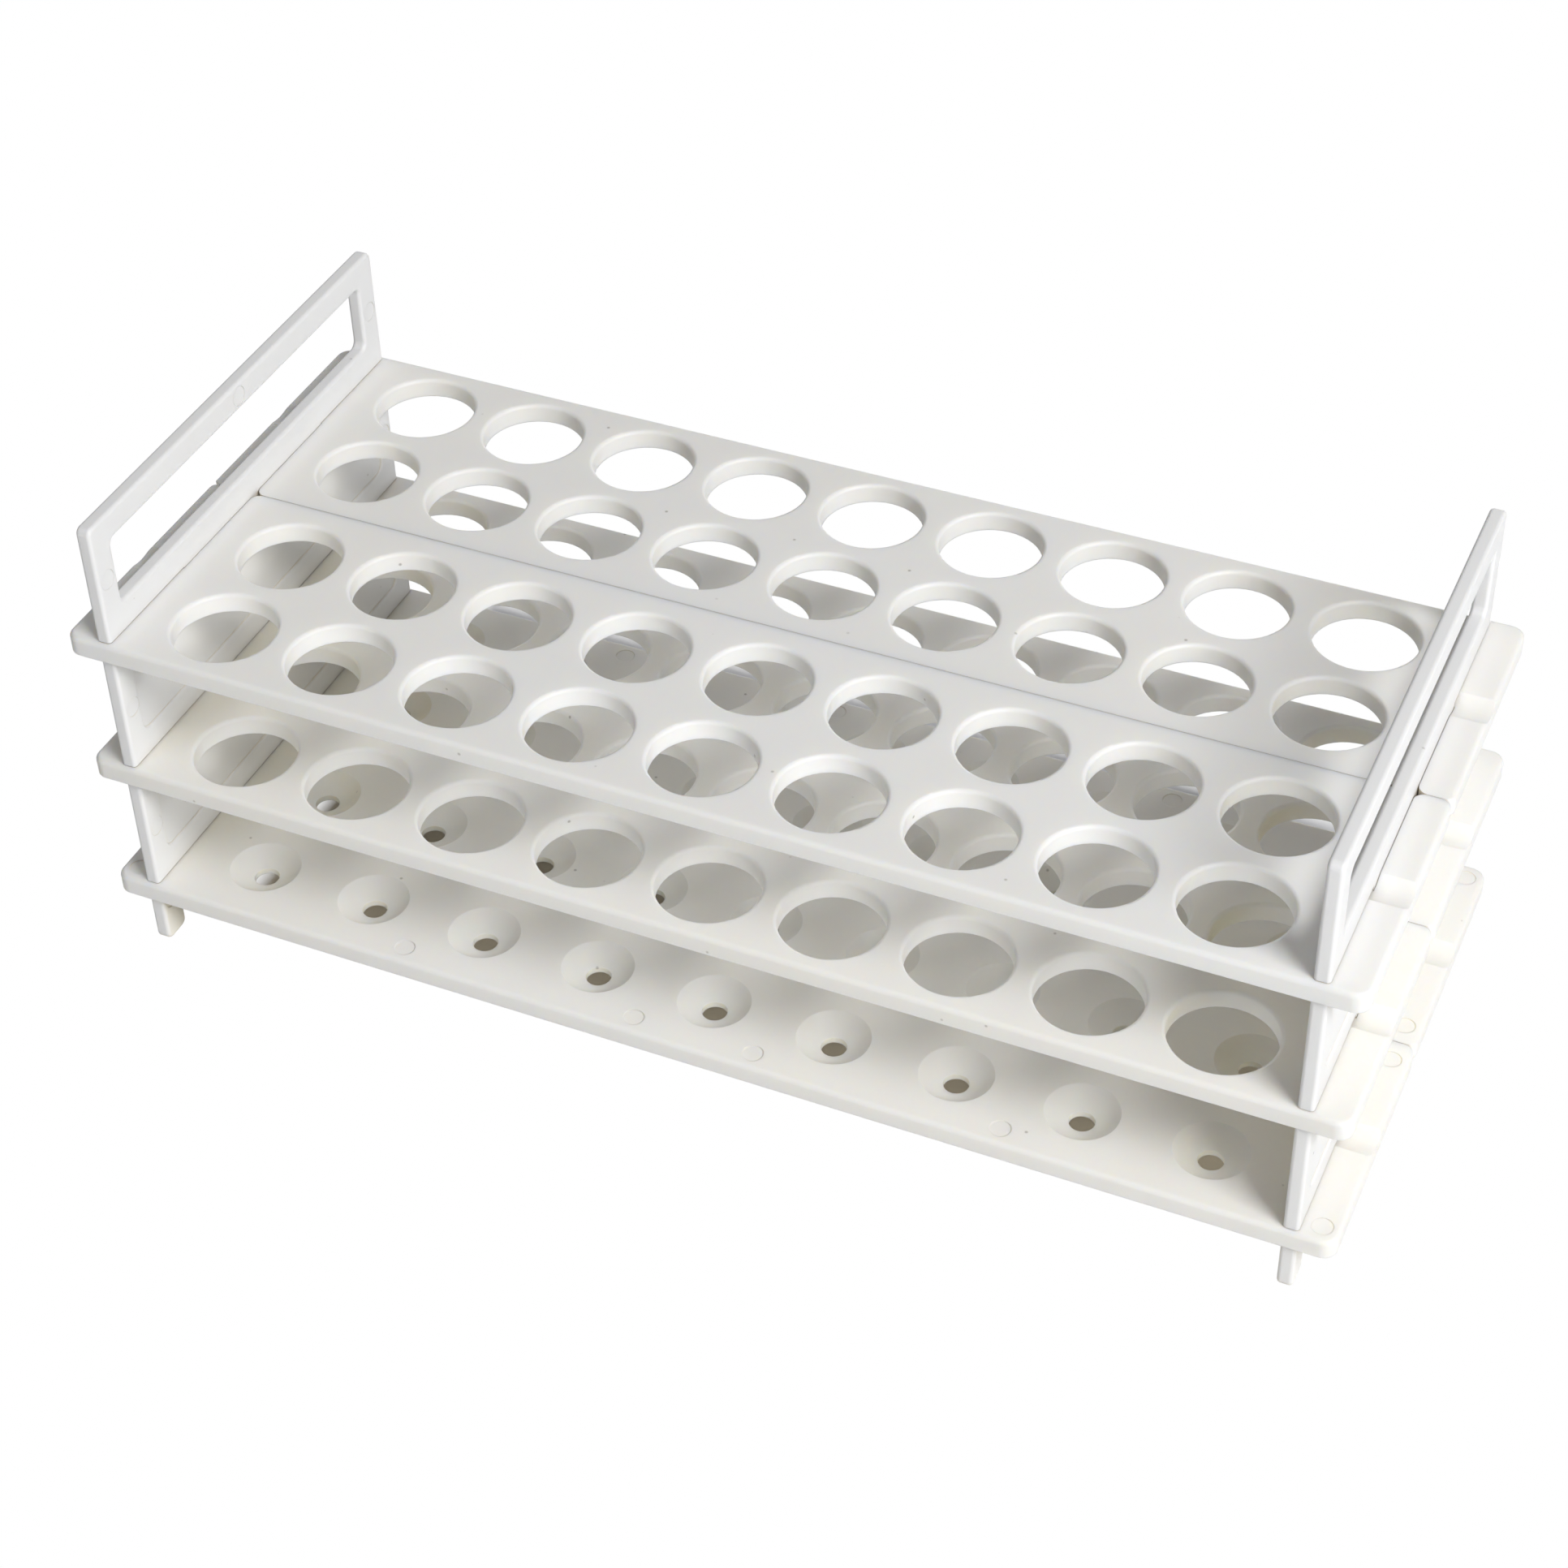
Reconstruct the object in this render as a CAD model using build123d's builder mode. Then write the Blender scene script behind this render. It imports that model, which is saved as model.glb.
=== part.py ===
"""Three-tier test tube rack that pushes together from two end frames and six half shelves.

X runs along the rack's length, Y from front to rear and Z up. The origin is on the ground under the
middle of the rack. Each tier is two half shelves that meet at a seam in the plane Y = 0. The joint
between a half shelf and an end frame is a cross lap: the half shelf has a slot cut in from the seam,
the frame has a slot cut in from its outer edge, and each sits in the other's slot.
"""

import os

from build123d import *

# Driving dimensions, in millimetres.
# Grid of tube places.
tube_hole_diameter = 21.2  # takes tubes up to 20 mm
column_count = 9
column_pitch = 26.0
rows_per_half = 2
row_pitch = 25.4  # between the rows of one half shelf
seam_row_pitch = 31.8  # between the two rows on either side of the seam
long_edge_margin = 14.2  # from the outer row's hole centres to the long outer edge
frame_margin = 17.9  # from the end column's hole centres to the frame's inner face

# Half shelves.
shelf_thickness = 4.2
tab_length = 7.2  # how far a shelf stands out past the frame's outer face
tab_corner_radius = 3.0
shelf_top_round = 1.0
hole_rim_round = 0.8
dish_diameter = 15.0  # shallow seat for a tube's round end, on the bottom tier
dish_depth = 3.2
drain_diameter = 5.2
finger_groove_width = 7.6  # shallow groove across each tab, beside the end of the lap
finger_groove_depth = 1.0
slot_mouth_radius = 2.2  # on each side of a shelf slot's mouth, at the seam
strip_pin_columns = (0.5, 2.5)  # ejector marks on the bottom tier, in column pitches from the middle

# Tiers.
tier_pitch = 32.0
shelf_ground_clearance = 12.1  # under the bottom tier

# End frames.
frame_thickness = 3.2
frame_set_back = 0.9  # from a shelf's long edge to the frame's edge
post_width = 6.2
foot_width = 6.6
handle_height = 27.3  # above the top shelf
handle_bar_height = 6.0
handle_sill_height = 6.4  # solid strip between the top shelf and the handle opening
foot_rail_height = 4.6  # strip under the bottom shelf that ties the feet together
frame_corner_radius = 1.6
opening_corner_radius = 1.5
frame_edge_round = 0.8  # along the edges of a frame's two faces
panel_recess = 0.6  # shallow recess in both faces of the web between two tiers
panel_side_rim = 5.4
panel_lower_rim = 5.7
panel_upper_rim = 3.6
panel_corner_radius = 2.4
panel_rim_round = 0.5

# Ejector marks: a shallow flat disc where each pin pushed the moulding out of its tool.
pin_mark_diameter = 4.2
pin_mark_depth = 0.15
pin_mark_inset = 3.1  # from a long edge of the piece to the mark's centre
seam_pin_inset = 5.0  # from the seam plane to the centre of a tab's inner mark

# Cross lap and clearances.
lap_depth = 27.5  # from the seam plane to where the two slots meet
seam_gap = 0.15  # between the two halves of a tier
side_clearance = 0.1  # between a frame's faces and the sides of a half shelf's slot
tier_clearance = 0.15  # above and below a half shelf in a frame's slot
lap_end_clearance = 0.2

# Sizes that follow.
frame_inner_x = (column_count - 1) / 2 * column_pitch + frame_margin
frame_outer_x = frame_inner_x + frame_thickness
shelf_end_x = frame_outer_x + tab_length
inner_row_y = seam_row_pitch / 2
outer_row_y = inner_row_y + (rows_per_half - 1) * row_pitch
shelf_edge_y = outer_row_y + long_edge_margin
frame_edge_y = shelf_edge_y - frame_set_back
bottom_tier_top = shelf_ground_clearance + shelf_thickness
tiers = {
    "bottom": bottom_tier_top,
    "middle": bottom_tier_top + tier_pitch,
    "top": bottom_tier_top + 2 * tier_pitch,
}
frame_top = tiers["top"] + handle_height
rail_bottom = shelf_ground_clearance - foot_rail_height
slot_width = frame_thickness + 2 * side_clearance
slot_reach = lap_depth + lap_end_clearance
past = 1.0  # how far a cut runs past a face that it opens
hair = 0.01  # how closely two sizes have to agree to count as the same


def arc_radius(width, depth):
    """Radius of the round cutter that leaves a hollow of this width and depth in a flat face."""
    return (width**2 / 4 + depth**2) / (2 * depth)


def half_shelf(top, through_holes):
    """The front half of a tier, with its top face at the height `top`.

    The seam edge lies towards +Y. Through holes guide the tubes on the upper tiers. The bottom tier
    has a shallow dish with a drain hole under each place instead.
    """
    seam_y = -seam_gap / 2
    depth = shelf_edge_y + seam_y
    with BuildPart() as shelf:
        with BuildSketch(Plane.XY.offset(top)):
            with Locations((0, (seam_y - shelf_edge_y) / 2)):
                plate = Rectangle(2 * shelf_end_x, depth)
            outer_corners = plate.vertices().group_by(Axis.Y)[0]
            fillet(outer_corners, tab_corner_radius)
        extrude(amount=-shelf_thickness)
        top_edges = shelf.faces().sort_by(Axis.Z)[-1].edges()
        fillet(top_edges - top_edges.group_by(Axis.Y)[-1], shelf_top_round)

        # Tube places.
        centre_y = -(inner_row_y + outer_row_y) / 2
        with Locations((0, centre_y, top)):
            with GridLocations(column_pitch, row_pitch, column_count, rows_per_half):
                if through_holes:
                    Hole(tube_hole_diameter / 2, shelf_thickness)
                else:
                    Hole(drain_diameter / 2, shelf_thickness)
        if through_holes:
            arcs = shelf.faces().sort_by(Axis.Z)[-1].edges().filter_by(GeomType.CIRCLE)
            fillet(arcs.filter_by(lambda arc: arc.radius > tab_corner_radius), hole_rim_round)
        else:
            dish_radius = arc_radius(dish_diameter, dish_depth)
            with Locations((0, centre_y, top + dish_radius - dish_depth)):
                with GridLocations(column_pitch, row_pitch, column_count, rows_per_half):
                    Sphere(dish_radius, mode=Mode.SUBTRACT)
            pin_y = pin_mark_inset + frame_set_back - shelf_edge_y
            tab_x = (frame_outer_x + shelf_end_x) / 2
            marks = [(end * tab_x, y) for end in (-1, 1) for y in (pin_y, -seam_pin_inset)]
            marks += [(end * n * column_pitch, pin_y) for end in (-1, 1) for n in strip_pin_columns]
            with BuildSketch(Plane.XY.offset(top)):
                with Locations(*marks):
                    Circle(pin_mark_diameter / 2)
            extrude(amount=-pin_mark_depth, mode=Mode.SUBTRACT)

        # Slots for the end frames, open at the seam edge, with a flared mouth on each side.
        slot_x = (frame_inner_x + frame_outer_x) / 2
        mouth_x = slot_width / 2 + slot_mouth_radius
        mouth_y = seam_y - slot_mouth_radius
        with BuildSketch(Plane.XY.offset(top)):
            for end in (-1, 1):
                with Locations((end * slot_x, (past - slot_reach) / 2)):
                    Rectangle(slot_width, slot_reach + past)
                with Locations((end * slot_x, (mouth_y + past) / 2)):
                    Rectangle(2 * mouth_x, past - mouth_y)
                for side in (-1, 1):
                    with Locations((end * slot_x + side * mouth_x, mouth_y)):
                        Circle(slot_mouth_radius, mode=Mode.SUBTRACT)
                # The outer corner of the tongue outside the frame.
                tongue_x = shelf_end_x - slot_mouth_radius
                with Locations((end * (tongue_x + shelf_end_x + past) / 2, (mouth_y + past) / 2)):
                    Rectangle(slot_mouth_radius + past, past - mouth_y)
                with Locations((end * tongue_x, mouth_y)):
                    Circle(slot_mouth_radius, mode=Mode.SUBTRACT)
        extrude(amount=-shelf_thickness, mode=Mode.SUBTRACT)

        # Finger groove across each tab: a shallow cylinder along X.
        groove_radius = arc_radius(finger_groove_width, finger_groove_depth)
        groove_length = tab_length + frame_thickness / 2 + past
        groove_x = shelf_end_x + past - groove_length / 2
        groove_z = top + groove_radius - finger_groove_depth
        for end in (-1, 1):
            with Locations((end * groove_x, -lap_depth, groove_z)):
                Cylinder(groove_radius, groove_length, rotation=(0, 90, 0), mode=Mode.SUBTRACT)
    return shelf.part


def end_frame(inner_x, outward):
    """An end frame whose inner face is in the plane X = inner_x. `outward` is +1 or -1 along X."""
    with BuildPart() as frame:
        with BuildSketch(Plane.YZ.offset(inner_x)) as outline:
            with Locations((0, (rail_bottom + frame_top) / 2)):
                Rectangle(2 * frame_edge_y, frame_top - rail_bottom)
            for side in (-1, 1):
                with Locations((side * (frame_edge_y - foot_width / 2), (rail_bottom + past) / 2)):
                    Rectangle(foot_width, rail_bottom + past)
            fillet(outline.vertices().group_by(Axis.Y)[-1], frame_corner_radius)
            fillet(outline.vertices().group_by(Axis.Y)[0], frame_corner_radius)
            opening_low = tiers["top"] + handle_sill_height
            opening_high = frame_top - handle_bar_height
            with Locations((0, (opening_low + opening_high) / 2)):
                RectangleRounded(
                    2 * (frame_edge_y - post_width),
                    opening_high - opening_low,
                    opening_corner_radius,
                    mode=Mode.SUBTRACT,
                )
            slot_length = frame_edge_y - lap_depth + past
            slot_height = shelf_thickness + 2 * tier_clearance
            for top in tiers.values():
                for side in (-1, 1):
                    with Locations((side * (lap_depth + slot_length / 2), top - shelf_thickness / 2)):
                        Rectangle(slot_length, slot_height, mode=Mode.SUBTRACT)
        extrude(amount=outward * frame_thickness)

        # The slots keep sharp edges, and all the other edges of the two faces are rounded.
        face_edges = frame.faces().filter_by(Axis.X).sort_by(Face.area)[-2:].edges()
        for top in tiers.values():
            low, high = top - shelf_thickness - past, top + past
            face_edges -= face_edges.filter_by(lambda e: low < e.center().Z < high)
        fillet(face_edges, frame_edge_round)

        # Shallow recessed panels in both faces of each web between two tiers.
        webs = ((tiers["bottom"], tiers["middle"]), (tiers["middle"], tiers["top"]))
        for low_top, high_top in webs:
            panel_low = low_top + panel_lower_rim
            panel_high = high_top - shelf_thickness - panel_upper_rim
            panel_width = 2 * (frame_edge_y - panel_side_rim)
            outer_x = inner_x + outward * frame_thickness
            for face_x, inward in ((inner_x, outward), (outer_x, -outward)):
                with BuildSketch(Plane.YZ.offset(face_x)):
                    with Locations((0, (panel_low + panel_high) / 2)):
                        RectangleRounded(panel_width, panel_high - panel_low, panel_corner_radius)
                extrude(amount=inward * panel_recess, mode=Mode.SUBTRACT)
                rim = frame.edges().filter_by_position(Axis.X, face_x - hair, face_x + hair)
                rim = rim.filter_by_position(Axis.Y, -panel_width / 2 - hair, panel_width / 2 + hair)
                rim = rim.filter_by_position(Axis.Z, panel_low - hair, panel_high + hair)
                fillet(rim, panel_rim_round)

        # Ejector marks on the inner face: on the posts, the handle bar, the webs' side rims and the feet.
        pin_y = frame_edge_y - pin_mark_inset
        web_middles = [(low_top + high_top - shelf_thickness) / 2 for low_top, high_top in webs]
        foot_pin_z = shelf_ground_clearance - tier_clearance - pin_mark_diameter / 2 - hair
        heights = [*web_middles, (opening_low + opening_high) / 2, foot_pin_z]
        marks = [(side * pin_y, z) for side in (-1, 1) for z in heights]
        marks.append((0, frame_top - handle_bar_height / 2))
        with BuildSketch(Plane.YZ.offset(inner_x)):
            with Locations(*marks):
                Circle(pin_mark_diameter / 2)
        extrude(amount=outward * pin_mark_depth, mode=Mode.SUBTRACT)
    return frame.part


pieces = {
    "left_end_frame": end_frame(-frame_inner_x, -1),
    "right_end_frame": end_frame(frame_inner_x, 1),
}
for tier, top in tiers.items():
    front = half_shelf(top, through_holes=tier != "bottom")
    pieces[f"{tier}_front_half_shelf"] = front
    pieces[f"{tier}_rear_half_shelf"] = front.rotate(Axis.Z, 180)

os.makedirs("parts", exist_ok=True)
for name, piece in pieces.items():
    piece.label = name
    export_step(piece, f"parts/{name}.step")
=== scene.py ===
"""Looks for a push-together test tube rack in white moulded plastic, built around its CAD frame.

Everything is in metres, in the CAD frame: X along the rack, Y from front to rear, Z up from the bench.
"""

import math

import bpy
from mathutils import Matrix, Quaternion, Vector


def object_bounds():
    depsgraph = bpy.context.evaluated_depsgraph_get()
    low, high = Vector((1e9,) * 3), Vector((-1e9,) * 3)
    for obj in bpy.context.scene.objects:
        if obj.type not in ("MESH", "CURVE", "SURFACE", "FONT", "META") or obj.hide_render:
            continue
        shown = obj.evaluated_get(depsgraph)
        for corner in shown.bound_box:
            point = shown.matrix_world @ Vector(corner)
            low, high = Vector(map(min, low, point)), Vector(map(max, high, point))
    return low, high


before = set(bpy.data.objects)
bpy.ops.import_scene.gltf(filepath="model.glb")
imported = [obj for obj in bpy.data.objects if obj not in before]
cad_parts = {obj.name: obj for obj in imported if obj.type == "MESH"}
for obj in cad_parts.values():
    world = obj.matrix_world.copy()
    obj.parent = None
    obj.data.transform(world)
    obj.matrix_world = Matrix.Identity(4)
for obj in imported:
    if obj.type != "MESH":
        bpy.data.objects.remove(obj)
cad_low, cad_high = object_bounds()
bpy.ops.object.select_all(action="DESELECT")

# The camera looks down on the rack from its front right through a short telephoto lens. It is a little
# over half a metre off, and leans by a degree and a half.
camera_azimuth = 24.84
camera_elevation = 40.96
camera_distance = 0.6306
camera_lean = math.radians(-1.583)
camera_lens_mm = 73.27
look_offset = Vector((0.0044, -0.0148, 0.00025))  # from the middle of the rack


def direction(azimuth, elevation):
    """The way from the rack to a place this many degrees round it and up. 0 is in front, 90 is at +X."""
    turn, rise = math.radians(azimuth), math.radians(elevation)
    return Vector((math.sin(turn) * math.cos(rise), -math.cos(turn) * math.cos(rise), math.sin(rise)))


rack_middle = (cad_low + cad_high) / 2
look_at = rack_middle + look_offset
away = direction(camera_azimuth, camera_elevation)
bpy.ops.object.camera_add(location=look_at + away * camera_distance)
camera = bpy.context.object
camera.name = "product_camera"
camera.data.lens = camera_lens_mm
camera.data.clip_start = 0.01
camera.rotation_mode = "QUATERNION"
camera.rotation_quaternion = (-away).to_track_quat("-Z", "Y") @ Quaternion((0, 0, 1), camera_lean)
bpy.context.scene.camera = camera


# Half shelves. Each is one injection moulding in unpigmented, slightly ivory polypropylene, with a fine
# satin grain from the tool and a faint flow pattern. Light comes through it, and painted warm light
# where a wall is closed in stands in for that. Tight corners get painted shade.
shelf_colours = {
    "top_front_half_shelf": (0.895, 0.894, 0.882),
    "top_rear_half_shelf": (0.886, 0.882, 0.866),
    "middle_front_half_shelf": (0.894, 0.890, 0.872),
    "middle_rear_half_shelf": (0.888, 0.883, 0.864),
    "bottom_front_half_shelf": (0.894, 0.891, 0.876),
    "bottom_rear_half_shelf": (0.888, 0.883, 0.864),
}
# Painted warm light: a warmer tone where a wall is closed in stands in for light through the plastic.
enclosed_reach = 0.05
enclosed_range = (0.08, 0.42)  # how open a wall is where the warm tone is full, and where it ends
painted_warm_light_tint = (1.07, 0.99, 0.77)
# Painted shade: darker in tight corners and creases, within this reach.
crevice_reach = 0.006
crevice_range = (0.15, 0.6)
crevice_shade_tint = (0.74, 0.68, 0.6)
speck_size = (0.03, 0.08)  # how far out a speck is full, and where it ends, in widths of its cell
speck_choice = (0.68, 0.74)  # few of the random cells are over this, and only those have a speck
speck_tint = (0.6, 0.58, 0.55)
flow_stretch = (0.45, 1, 1)  # the flow runs along the rack
flow_contrast = (0.35, 0.65)
handling_scale = 60
handling_contrast = (0.3, 0.7)
handling_gloss = 0.06
edge_softness = 0.0003
plastic_ior = 1.49
light_spread = (1.0, 0.85, 0.6)  # red goes furthest through the plastic
light_depth = 0.0025
mix_colour_sockets = (6, 7)  # where a Mix node keeps its two colours
mix_colour_result = 2


def new_group(name, inputs, outputs):
    """An empty shader node group with these sockets, and its two end nodes."""
    group = bpy.data.node_groups.new(name, "ShaderNodeTree")
    for socket_name, socket_type, value in inputs:
        socket = group.interface.new_socket(socket_name, in_out="INPUT", socket_type=socket_type)
        socket.default_value = value
    for socket_name, socket_type in outputs:
        group.interface.new_socket(socket_name, in_out="OUTPUT", socket_type=socket_type)
    return group, group.nodes.new("NodeGroupInput"), group.nodes.new("NodeGroupOutput")


def noise(tree, vector, scale, detail):
    """A noise texture on this vector. Its scale, in features per metre, is a number or a socket."""
    node = tree.nodes.new("ShaderNodeTexNoise")
    node.inputs["Detail"].default_value = detail
    tree.links.new(vector, node.inputs["Vector"])
    if isinstance(scale, bpy.types.NodeSocket):
        tree.links.new(scale, node.inputs["Scale"])
    else:
        node.inputs["Scale"].default_value = scale
    return node.outputs["Fac"]


def remap(tree, value, low, high, to_low, to_high):
    """Maps a value from low..high to to_low..to_high, clamped."""
    node = tree.nodes.new("ShaderNodeMapRange")
    for socket_name, number in (
        ("From Min", low),
        ("From Max", high),
        ("To Min", to_low),
        ("To Max", to_high),
    ):
        node.inputs[socket_name].default_value = number
    tree.links.new(value, node.inputs["Value"])
    return node.outputs["Result"]


def combine(tree, operation, first, second):
    """Adds, multiplies or compares two value sockets."""
    node = tree.nodes.new("ShaderNodeMath")
    node.operation = operation
    tree.links.new(first, node.inputs[0])
    tree.links.new(second, node.inputs[1])
    return node.outputs["Value"]


def blend_colour(tree, factor, first, second):
    """Mixes two colours by a factor socket. Each colour is a socket or red, green, blue and alpha."""
    node = tree.nodes.new("ShaderNodeMix")
    node.data_type = "RGBA"
    tree.links.new(factor, node.inputs["Factor"])
    for socket, colour in zip(mix_colour_sockets, (first, second)):
        if isinstance(colour, bpy.types.NodeSocket):
            tree.links.new(colour, node.inputs[socket])
        else:
            node.inputs[socket].default_value = colour
    return node.outputs[mix_colour_result]


def openness(tree, reach):
    """How open a point is to its surroundings within this reach: 1 in the open, 0 when closed in."""
    node = tree.nodes.new("ShaderNodeAmbientOcclusion")
    node.samples = 8
    tree.links.new(reach, node.inputs["Distance"])
    return node.outputs["AO"]


def make_moulded_tone():
    """Colour of a moulding: a flow pattern, painted warm light where it is closed in, painted shade in
    tight corners, and a few specks.
    """
    group, start, end = new_group(
        "moulded_tone",
        (
            ("Colour", "NodeSocketColor", (0.8, 0.8, 0.8, 1)),
            ("Flow Colour", "NodeSocketColor", (0.8, 0.8, 0.78, 1)),
            ("Painted Warm Light Colour", "NodeSocketColor", (0.8, 0.75, 0.65, 1)),
            ("Crevice Shade Colour", "NodeSocketColor", (0.6, 0.55, 0.45, 1)),
            ("Speck Colour", "NodeSocketColor", (0.4, 0.38, 0.35, 1)),
            ("Flow Scale", "NodeSocketFloat", 20),
            ("Enclosed Reach", "NodeSocketFloat", 0.05),
            ("Crevice Reach", "NodeSocketFloat", 0.004),
            ("Speck Scale", "NodeSocketFloat", 180),
        ),
        (("Colour", "NodeSocketColor"),),
    )
    place = group.nodes.new("ShaderNodeTexCoord").outputs["Object"]
    stretch = group.nodes.new("ShaderNodeMapping")
    stretch.inputs["Scale"].default_value = flow_stretch
    group.links.new(place, stretch.inputs["Vector"])
    flow_noise = noise(group, stretch.outputs["Vector"], start.outputs["Flow Scale"], detail=4)
    flow = remap(group, flow_noise, *flow_contrast, 0, 1)
    toned = blend_colour(group, flow, start.outputs["Colour"], start.outputs["Flow Colour"])
    # Painted warm light where the moulding is closed in.
    enclosed = remap(group, openness(group, start.outputs["Enclosed Reach"]), *enclosed_range, 1, 0)
    warmed = blend_colour(group, enclosed, toned, start.outputs["Painted Warm Light Colour"])
    # Painted shade in tight corners and creases.
    crevice = remap(group, openness(group, start.outputs["Crevice Reach"]), *crevice_range, 1, 0)
    coloured = blend_colour(group, crevice, warmed, start.outputs["Crevice Shade Colour"])
    cells = group.nodes.new("ShaderNodeTexVoronoi")
    group.links.new(place, cells.inputs["Vector"])
    group.links.new(start.outputs["Speck Scale"], cells.inputs["Scale"])
    near = remap(group, cells.outputs["Distance"], *speck_size, 1, 0)
    chosen = remap(group, cells.outputs["Color"], *speck_choice, 0, 1)
    speck = combine(group, "MULTIPLY", near, chosen)
    specked = blend_colour(group, speck, coloured, start.outputs["Speck Colour"])
    group.links.new(specked, end.inputs["Colour"])
    return group


def make_moulded_skin():
    """Surface of a moulding: rounded edges, a fine grain from the tool, and uneven gloss."""
    group, start, end = new_group(
        "moulded_skin",
        (
            ("Grain Scale", "NodeSocketFloat", 1600),
            ("Grain Depth", "NodeSocketFloat", 0.00001),
            ("Roughness", "NodeSocketFloat", 0.45),
            ("Edge Softness", "NodeSocketFloat", 0.0003),
        ),
        (("Normal", "NodeSocketVector"), ("Roughness", "NodeSocketFloat")),
    )
    place = group.nodes.new("ShaderNodeTexCoord").outputs["Object"]
    grain = noise(group, place, start.outputs["Grain Scale"], detail=3)
    rounded = group.nodes.new("ShaderNodeBevel")
    rounded.samples = 4
    group.links.new(start.outputs["Edge Softness"], rounded.inputs["Radius"])
    bump = group.nodes.new("ShaderNodeBump")
    group.links.new(start.outputs["Grain Depth"], bump.inputs["Distance"])
    group.links.new(grain, bump.inputs["Height"])
    group.links.new(rounded.outputs["Normal"], bump.inputs["Normal"])
    group.links.new(bump.outputs["Normal"], end.inputs["Normal"])
    handling = noise(group, place, handling_scale, detail=4)
    handled = remap(group, handling, *handling_contrast, -handling_gloss, handling_gloss)
    uneven = combine(group, "ADD", handled, start.outputs["Roughness"])
    group.links.new(uneven, end.inputs["Roughness"])
    return group


moulded_tone = make_moulded_tone()
moulded_skin = make_moulded_skin()


def tinted(colour, tint):
    """A colour times a tint, with the alpha that a colour socket wants."""
    return (*(part * factor for part, factor in zip(colour, tint)), 1)


def moulded_plastic(name, colour, warmth, flow_scale, grain_scale, roughness, translucency):
    """Polypropylene as one moulding shows it: `warmth` is how far its flow pattern leans to ivory."""
    material = bpy.data.materials.new(name)
    material.use_nodes = True
    tree = material.node_tree
    surface = tree.nodes["Principled BSDF"]
    tone = tree.nodes.new("ShaderNodeGroup")
    tone.node_tree = moulded_tone
    tone.inputs["Colour"].default_value = (*colour, 1)
    tone.inputs["Flow Colour"].default_value = tinted(colour, (1, 1 - warmth / 3, 1 - warmth))
    tone.inputs["Painted Warm Light Colour"].default_value = tinted(colour, painted_warm_light_tint)
    tone.inputs["Crevice Shade Colour"].default_value = tinted(colour, crevice_shade_tint)
    tone.inputs["Speck Colour"].default_value = tinted(colour, speck_tint)
    tone.inputs["Flow Scale"].default_value = flow_scale
    tone.inputs["Enclosed Reach"].default_value = enclosed_reach
    tone.inputs["Crevice Reach"].default_value = crevice_reach
    tree.links.new(tone.outputs["Colour"], surface.inputs["Base Color"])
    skin = tree.nodes.new("ShaderNodeGroup")
    skin.node_tree = moulded_skin
    skin.inputs["Grain Scale"].default_value = grain_scale
    skin.inputs["Roughness"].default_value = roughness
    skin.inputs["Edge Softness"].default_value = edge_softness
    tree.links.new(skin.outputs["Normal"], surface.inputs["Normal"])
    tree.links.new(skin.outputs["Roughness"], surface.inputs["Roughness"])
    surface.inputs["IOR"].default_value = plastic_ior
    surface.inputs["Subsurface Weight"].default_value = translucency
    surface.inputs["Subsurface Radius"].default_value = light_spread
    surface.inputs["Subsurface Scale"].default_value = light_depth
    return material


def finish_node(node_name, material):
    """Gives a CAD node this material all over."""
    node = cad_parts[node_name]
    node.data.materials.clear()
    node.data.materials.append(material)


for node_name, colour in shelf_colours.items():
    shelf_plastic = moulded_plastic(
        f"{node_name}_plastic",
        colour,
        warmth=0.03,
        flow_scale=18,
        grain_scale=1600,
        roughness=0.46,
        translucency=0.6,
    )
    finish_node(node_name, shelf_plastic)


# End frames. Both are the same polypropylene moulding from a separate tool, in a batch a little cooler
# in colour than the shelves. They are a little glossier, and much less light comes through them.
frame_colour = (0.865, 0.868, 0.872)
frame_plastic = moulded_plastic(
    "end_frame_plastic",
    frame_colour,
    warmth=0.012,
    flow_scale=14,
    grain_scale=1900,
    roughness=0.42,
    translucency=0.12,
)
for node_name in ("left_end_frame", "right_end_frame"):
    finish_node(node_name, frame_plastic)


# Stage: a white sweep. In the open the camera sees it as plain white, as if it was lit from behind.
# Under the rack and just behind it, the camera sees it shaded, in two given tones. Light that
# bounces off the sweep meets one white paper all over.
sweep_size = 6.0
sweep_white = (0.93, 0.93, 0.93, 1)
sweep_behind_rack = (0.93, 0.94, 0.98, 1)
painted_light_under_rack = (1.08, 1.02, 0.98, 1)  # painted warm light on the shade under the rack: sets the drain holes' tone, and is past what paper can be
front_inset = 0.016  # from the rack's front edge to where the shade starts
end_inset = 0.016  # from each end of the rack to where the shade starts
shade_past_rear = 0.023  # from the rack's rear edge to where the shade ends
shade_softness = 0.005
bpy.ops.mesh.primitive_plane_add(size=sweep_size, location=(0, 0, 0))
sweep = bpy.context.object
sweep.name = "white_sweep"
sweep_paper = bpy.data.materials.new("sweep_paper")
sweep_paper.use_nodes = True
paper_tree = sweep_paper.node_tree
paper_tree.nodes.remove(paper_tree.nodes["Principled BSDF"])
paper = paper_tree.nodes.new("ShaderNodeBsdfDiffuse")
place = paper_tree.nodes.new("ShaderNodeTexCoord").outputs["Object"]


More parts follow.
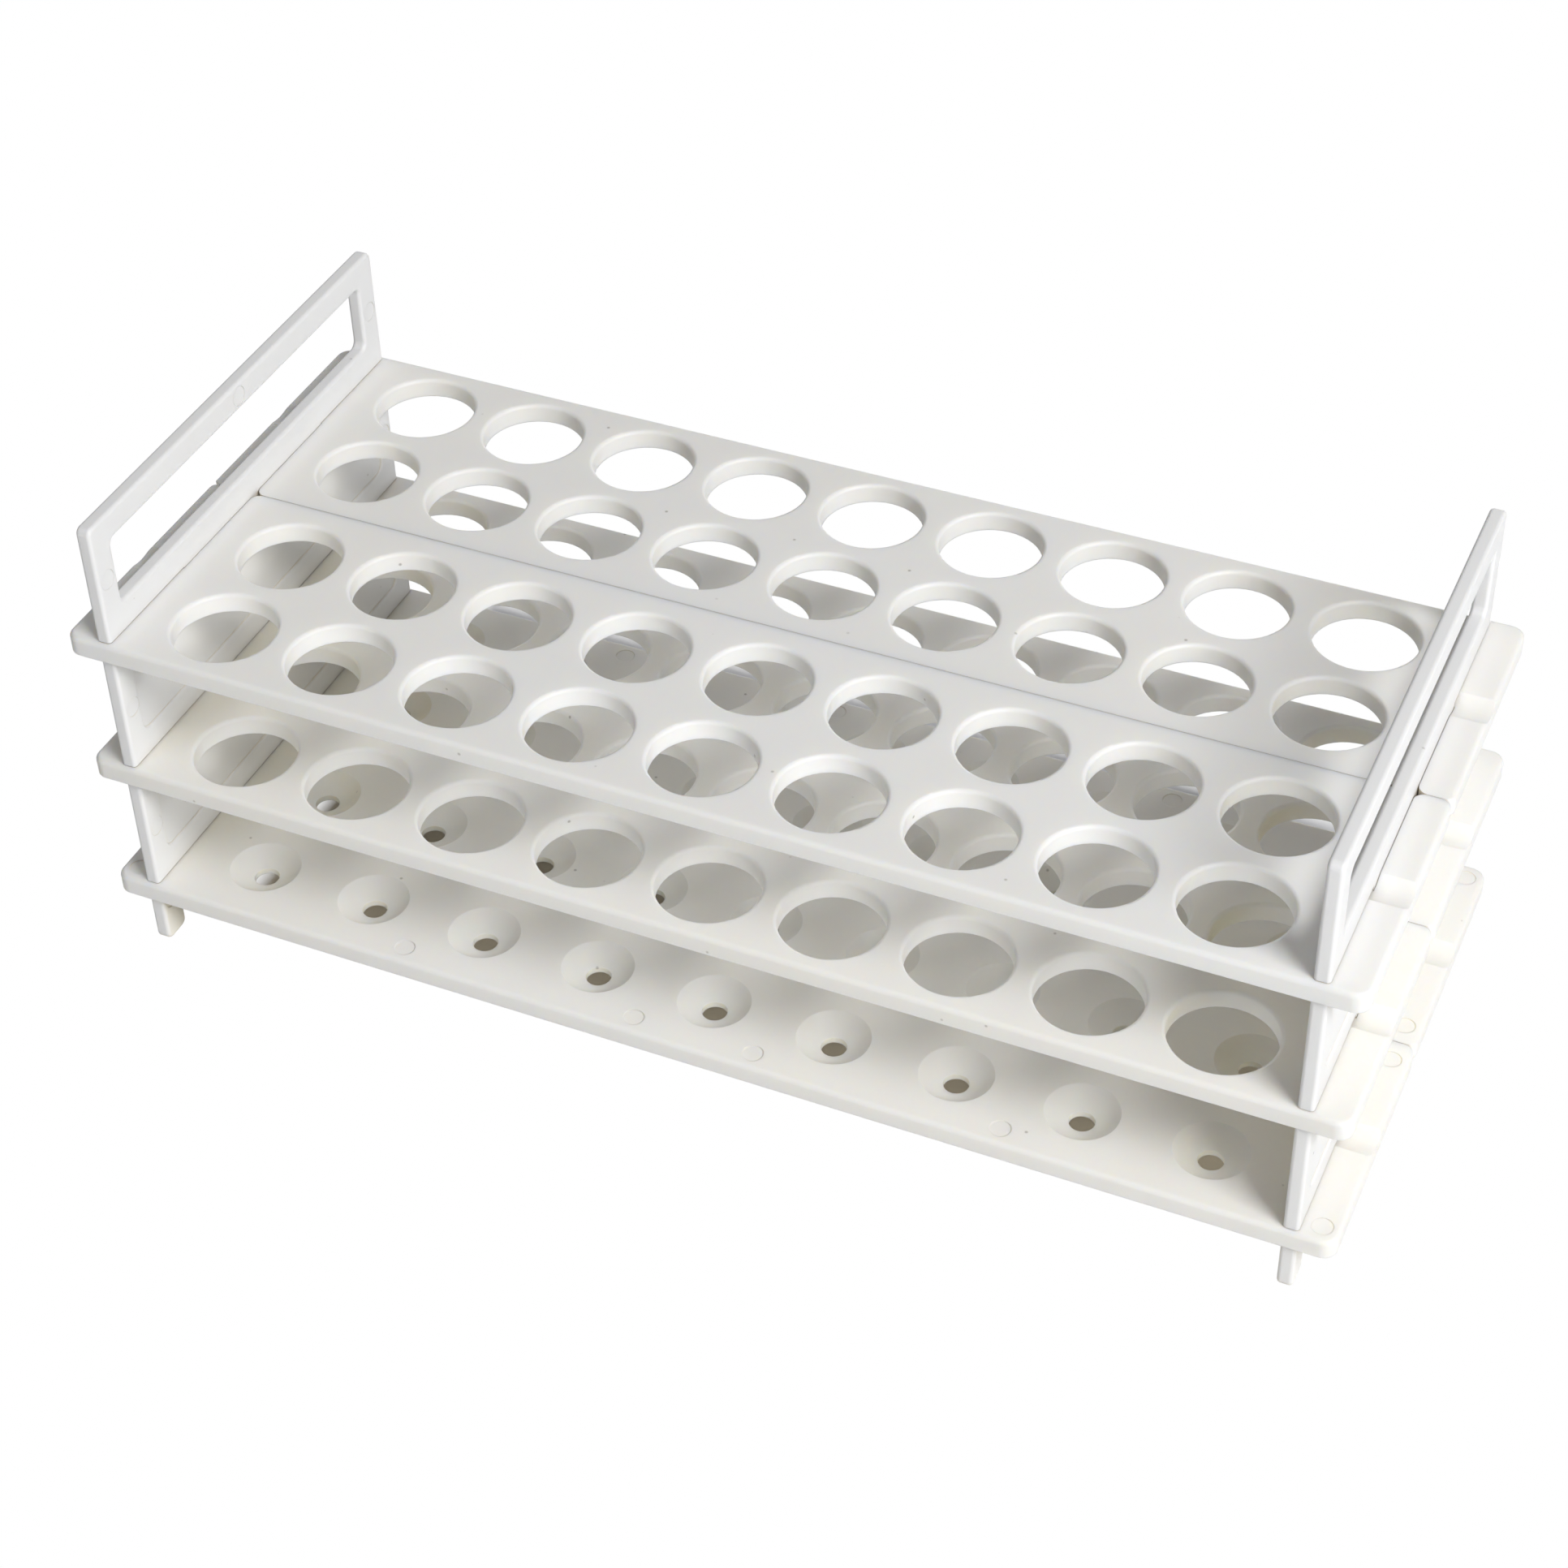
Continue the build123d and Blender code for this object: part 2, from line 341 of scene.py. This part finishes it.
def outside_of(half_length, front, rear):
    """A mask that is 0 inside this rectangle of the sweep and 1 outside it, with a soft edge."""
    from_middle = paper_tree.nodes.new("ShaderNodeVectorMath")
    from_middle.operation = "SUBTRACT"
    from_middle.inputs[1].default_value = (0, (front + rear) / 2, 0)
    paper_tree.links.new(place, from_middle.inputs[0])
    distance = paper_tree.nodes.new("ShaderNodeVectorMath")
    distance.operation = "ABSOLUTE"
    paper_tree.links.new(from_middle.outputs["Vector"], distance.inputs[0])
    axes = paper_tree.nodes.new("ShaderNodeSeparateXYZ")
    paper_tree.links.new(distance.outputs["Vector"], axes.inputs["Vector"])
    past_edges = [
        remap(paper_tree, axes.outputs[axis], edge - shade_softness, edge, 0, 1)
        for axis, edge in (("X", half_length), ("Y", (rear - front) / 2))
    ]
    return combine(paper_tree, "MAXIMUM", *past_edges)


shade_front = cad_low.y + front_inset
shade_end = cad_high.x - end_inset
past_rack = outside_of(shade_end, shade_front, cad_high.y)
in_the_open = outside_of(shade_end, shade_front, cad_high.y + shade_past_rear)
seen_directly = paper_tree.nodes.new("ShaderNodeLightPath").outputs["Is Camera Ray"]
shade_tone = blend_colour(paper_tree, past_rack, painted_light_under_rack, sweep_behind_rack)
paper_colour = blend_colour(paper_tree, seen_directly, sweep_white, shade_tone)
paper_tree.links.new(paper_colour, paper.inputs["Color"])
backlight = paper_tree.nodes.new("ShaderNodeEmission")
backlit_paper = paper_tree.nodes.new("ShaderNodeMixShader")
seen_backlit = combine(paper_tree, "MULTIPLY", in_the_open, seen_directly)
paper_tree.links.new(seen_backlit, backlit_paper.inputs["Fac"])
paper_tree.links.new(paper.outputs["BSDF"], backlit_paper.inputs[1])
paper_tree.links.new(backlight.outputs["Emission"], backlit_paper.inputs[2])
surface_socket = paper_tree.nodes["Material Output"].inputs["Surface"]
paper_tree.links.new(backlit_paper.outputs["Shader"], surface_socket)
sweep.data.materials.append(sweep_paper)

# Lamps. One large soft box at the front right gives the light its direction, and five weaker ones keep
# the shaded sides readable.
lamp_distance = 1.6


def soft_box(name, azimuth, elevation, size, power):
    """A square area light that faces the middle of the rack, with its size in metres."""
    towards = direction(azimuth, elevation)
    bpy.ops.object.light_add(type="AREA", location=rack_middle + towards * lamp_distance)
    lamp = bpy.context.object
    lamp.name = name
    lamp.data.size = size
    lamp.data.energy = power
    lamp.rotation_mode = "QUATERNION"
    lamp.rotation_quaternion = (-towards).to_track_quat("-Z", "Y")


soft_box("key_soft_box", azimuth=62, elevation=39, size=0.67, power=22.0)
soft_box("overhead_soft_box", azimuth=0, elevation=89, size=0.8, power=1.7)
soft_box("rear_left_fill", azimuth=225, elevation=20, size=0.8, power=1.6)
soft_box("rear_low_fill", azimuth=190, elevation=8, size=0.8, power=4.6)
soft_box("left_fill", azimuth=300, elevation=45, size=0.8, power=0.35)
soft_box("front_low_fill", azimuth=5, elevation=12, size=0.8, power=0.7)

# The room. It adds a weak, even light. Past the sweep the camera sees it as plain white, so that the
# background stays whole in views from low down.
room_glow = 0.12
world = bpy.data.worlds.new("studio")
bpy.context.scene.world = world
world.use_nodes = True
world_tree = world.node_tree
room = world_tree.nodes["Background"]
room.inputs["Color"].default_value = (1, 1, 1, 1)
seen_past_sweep = world_tree.nodes.new("ShaderNodeLightPath").outputs["Is Camera Ray"]
world_tree.links.new(remap(world_tree, seen_past_sweep, 0, 1, room_glow, 1), room.inputs["Strength"])
bpy.context.scene.view_settings.view_transform = "Standard"
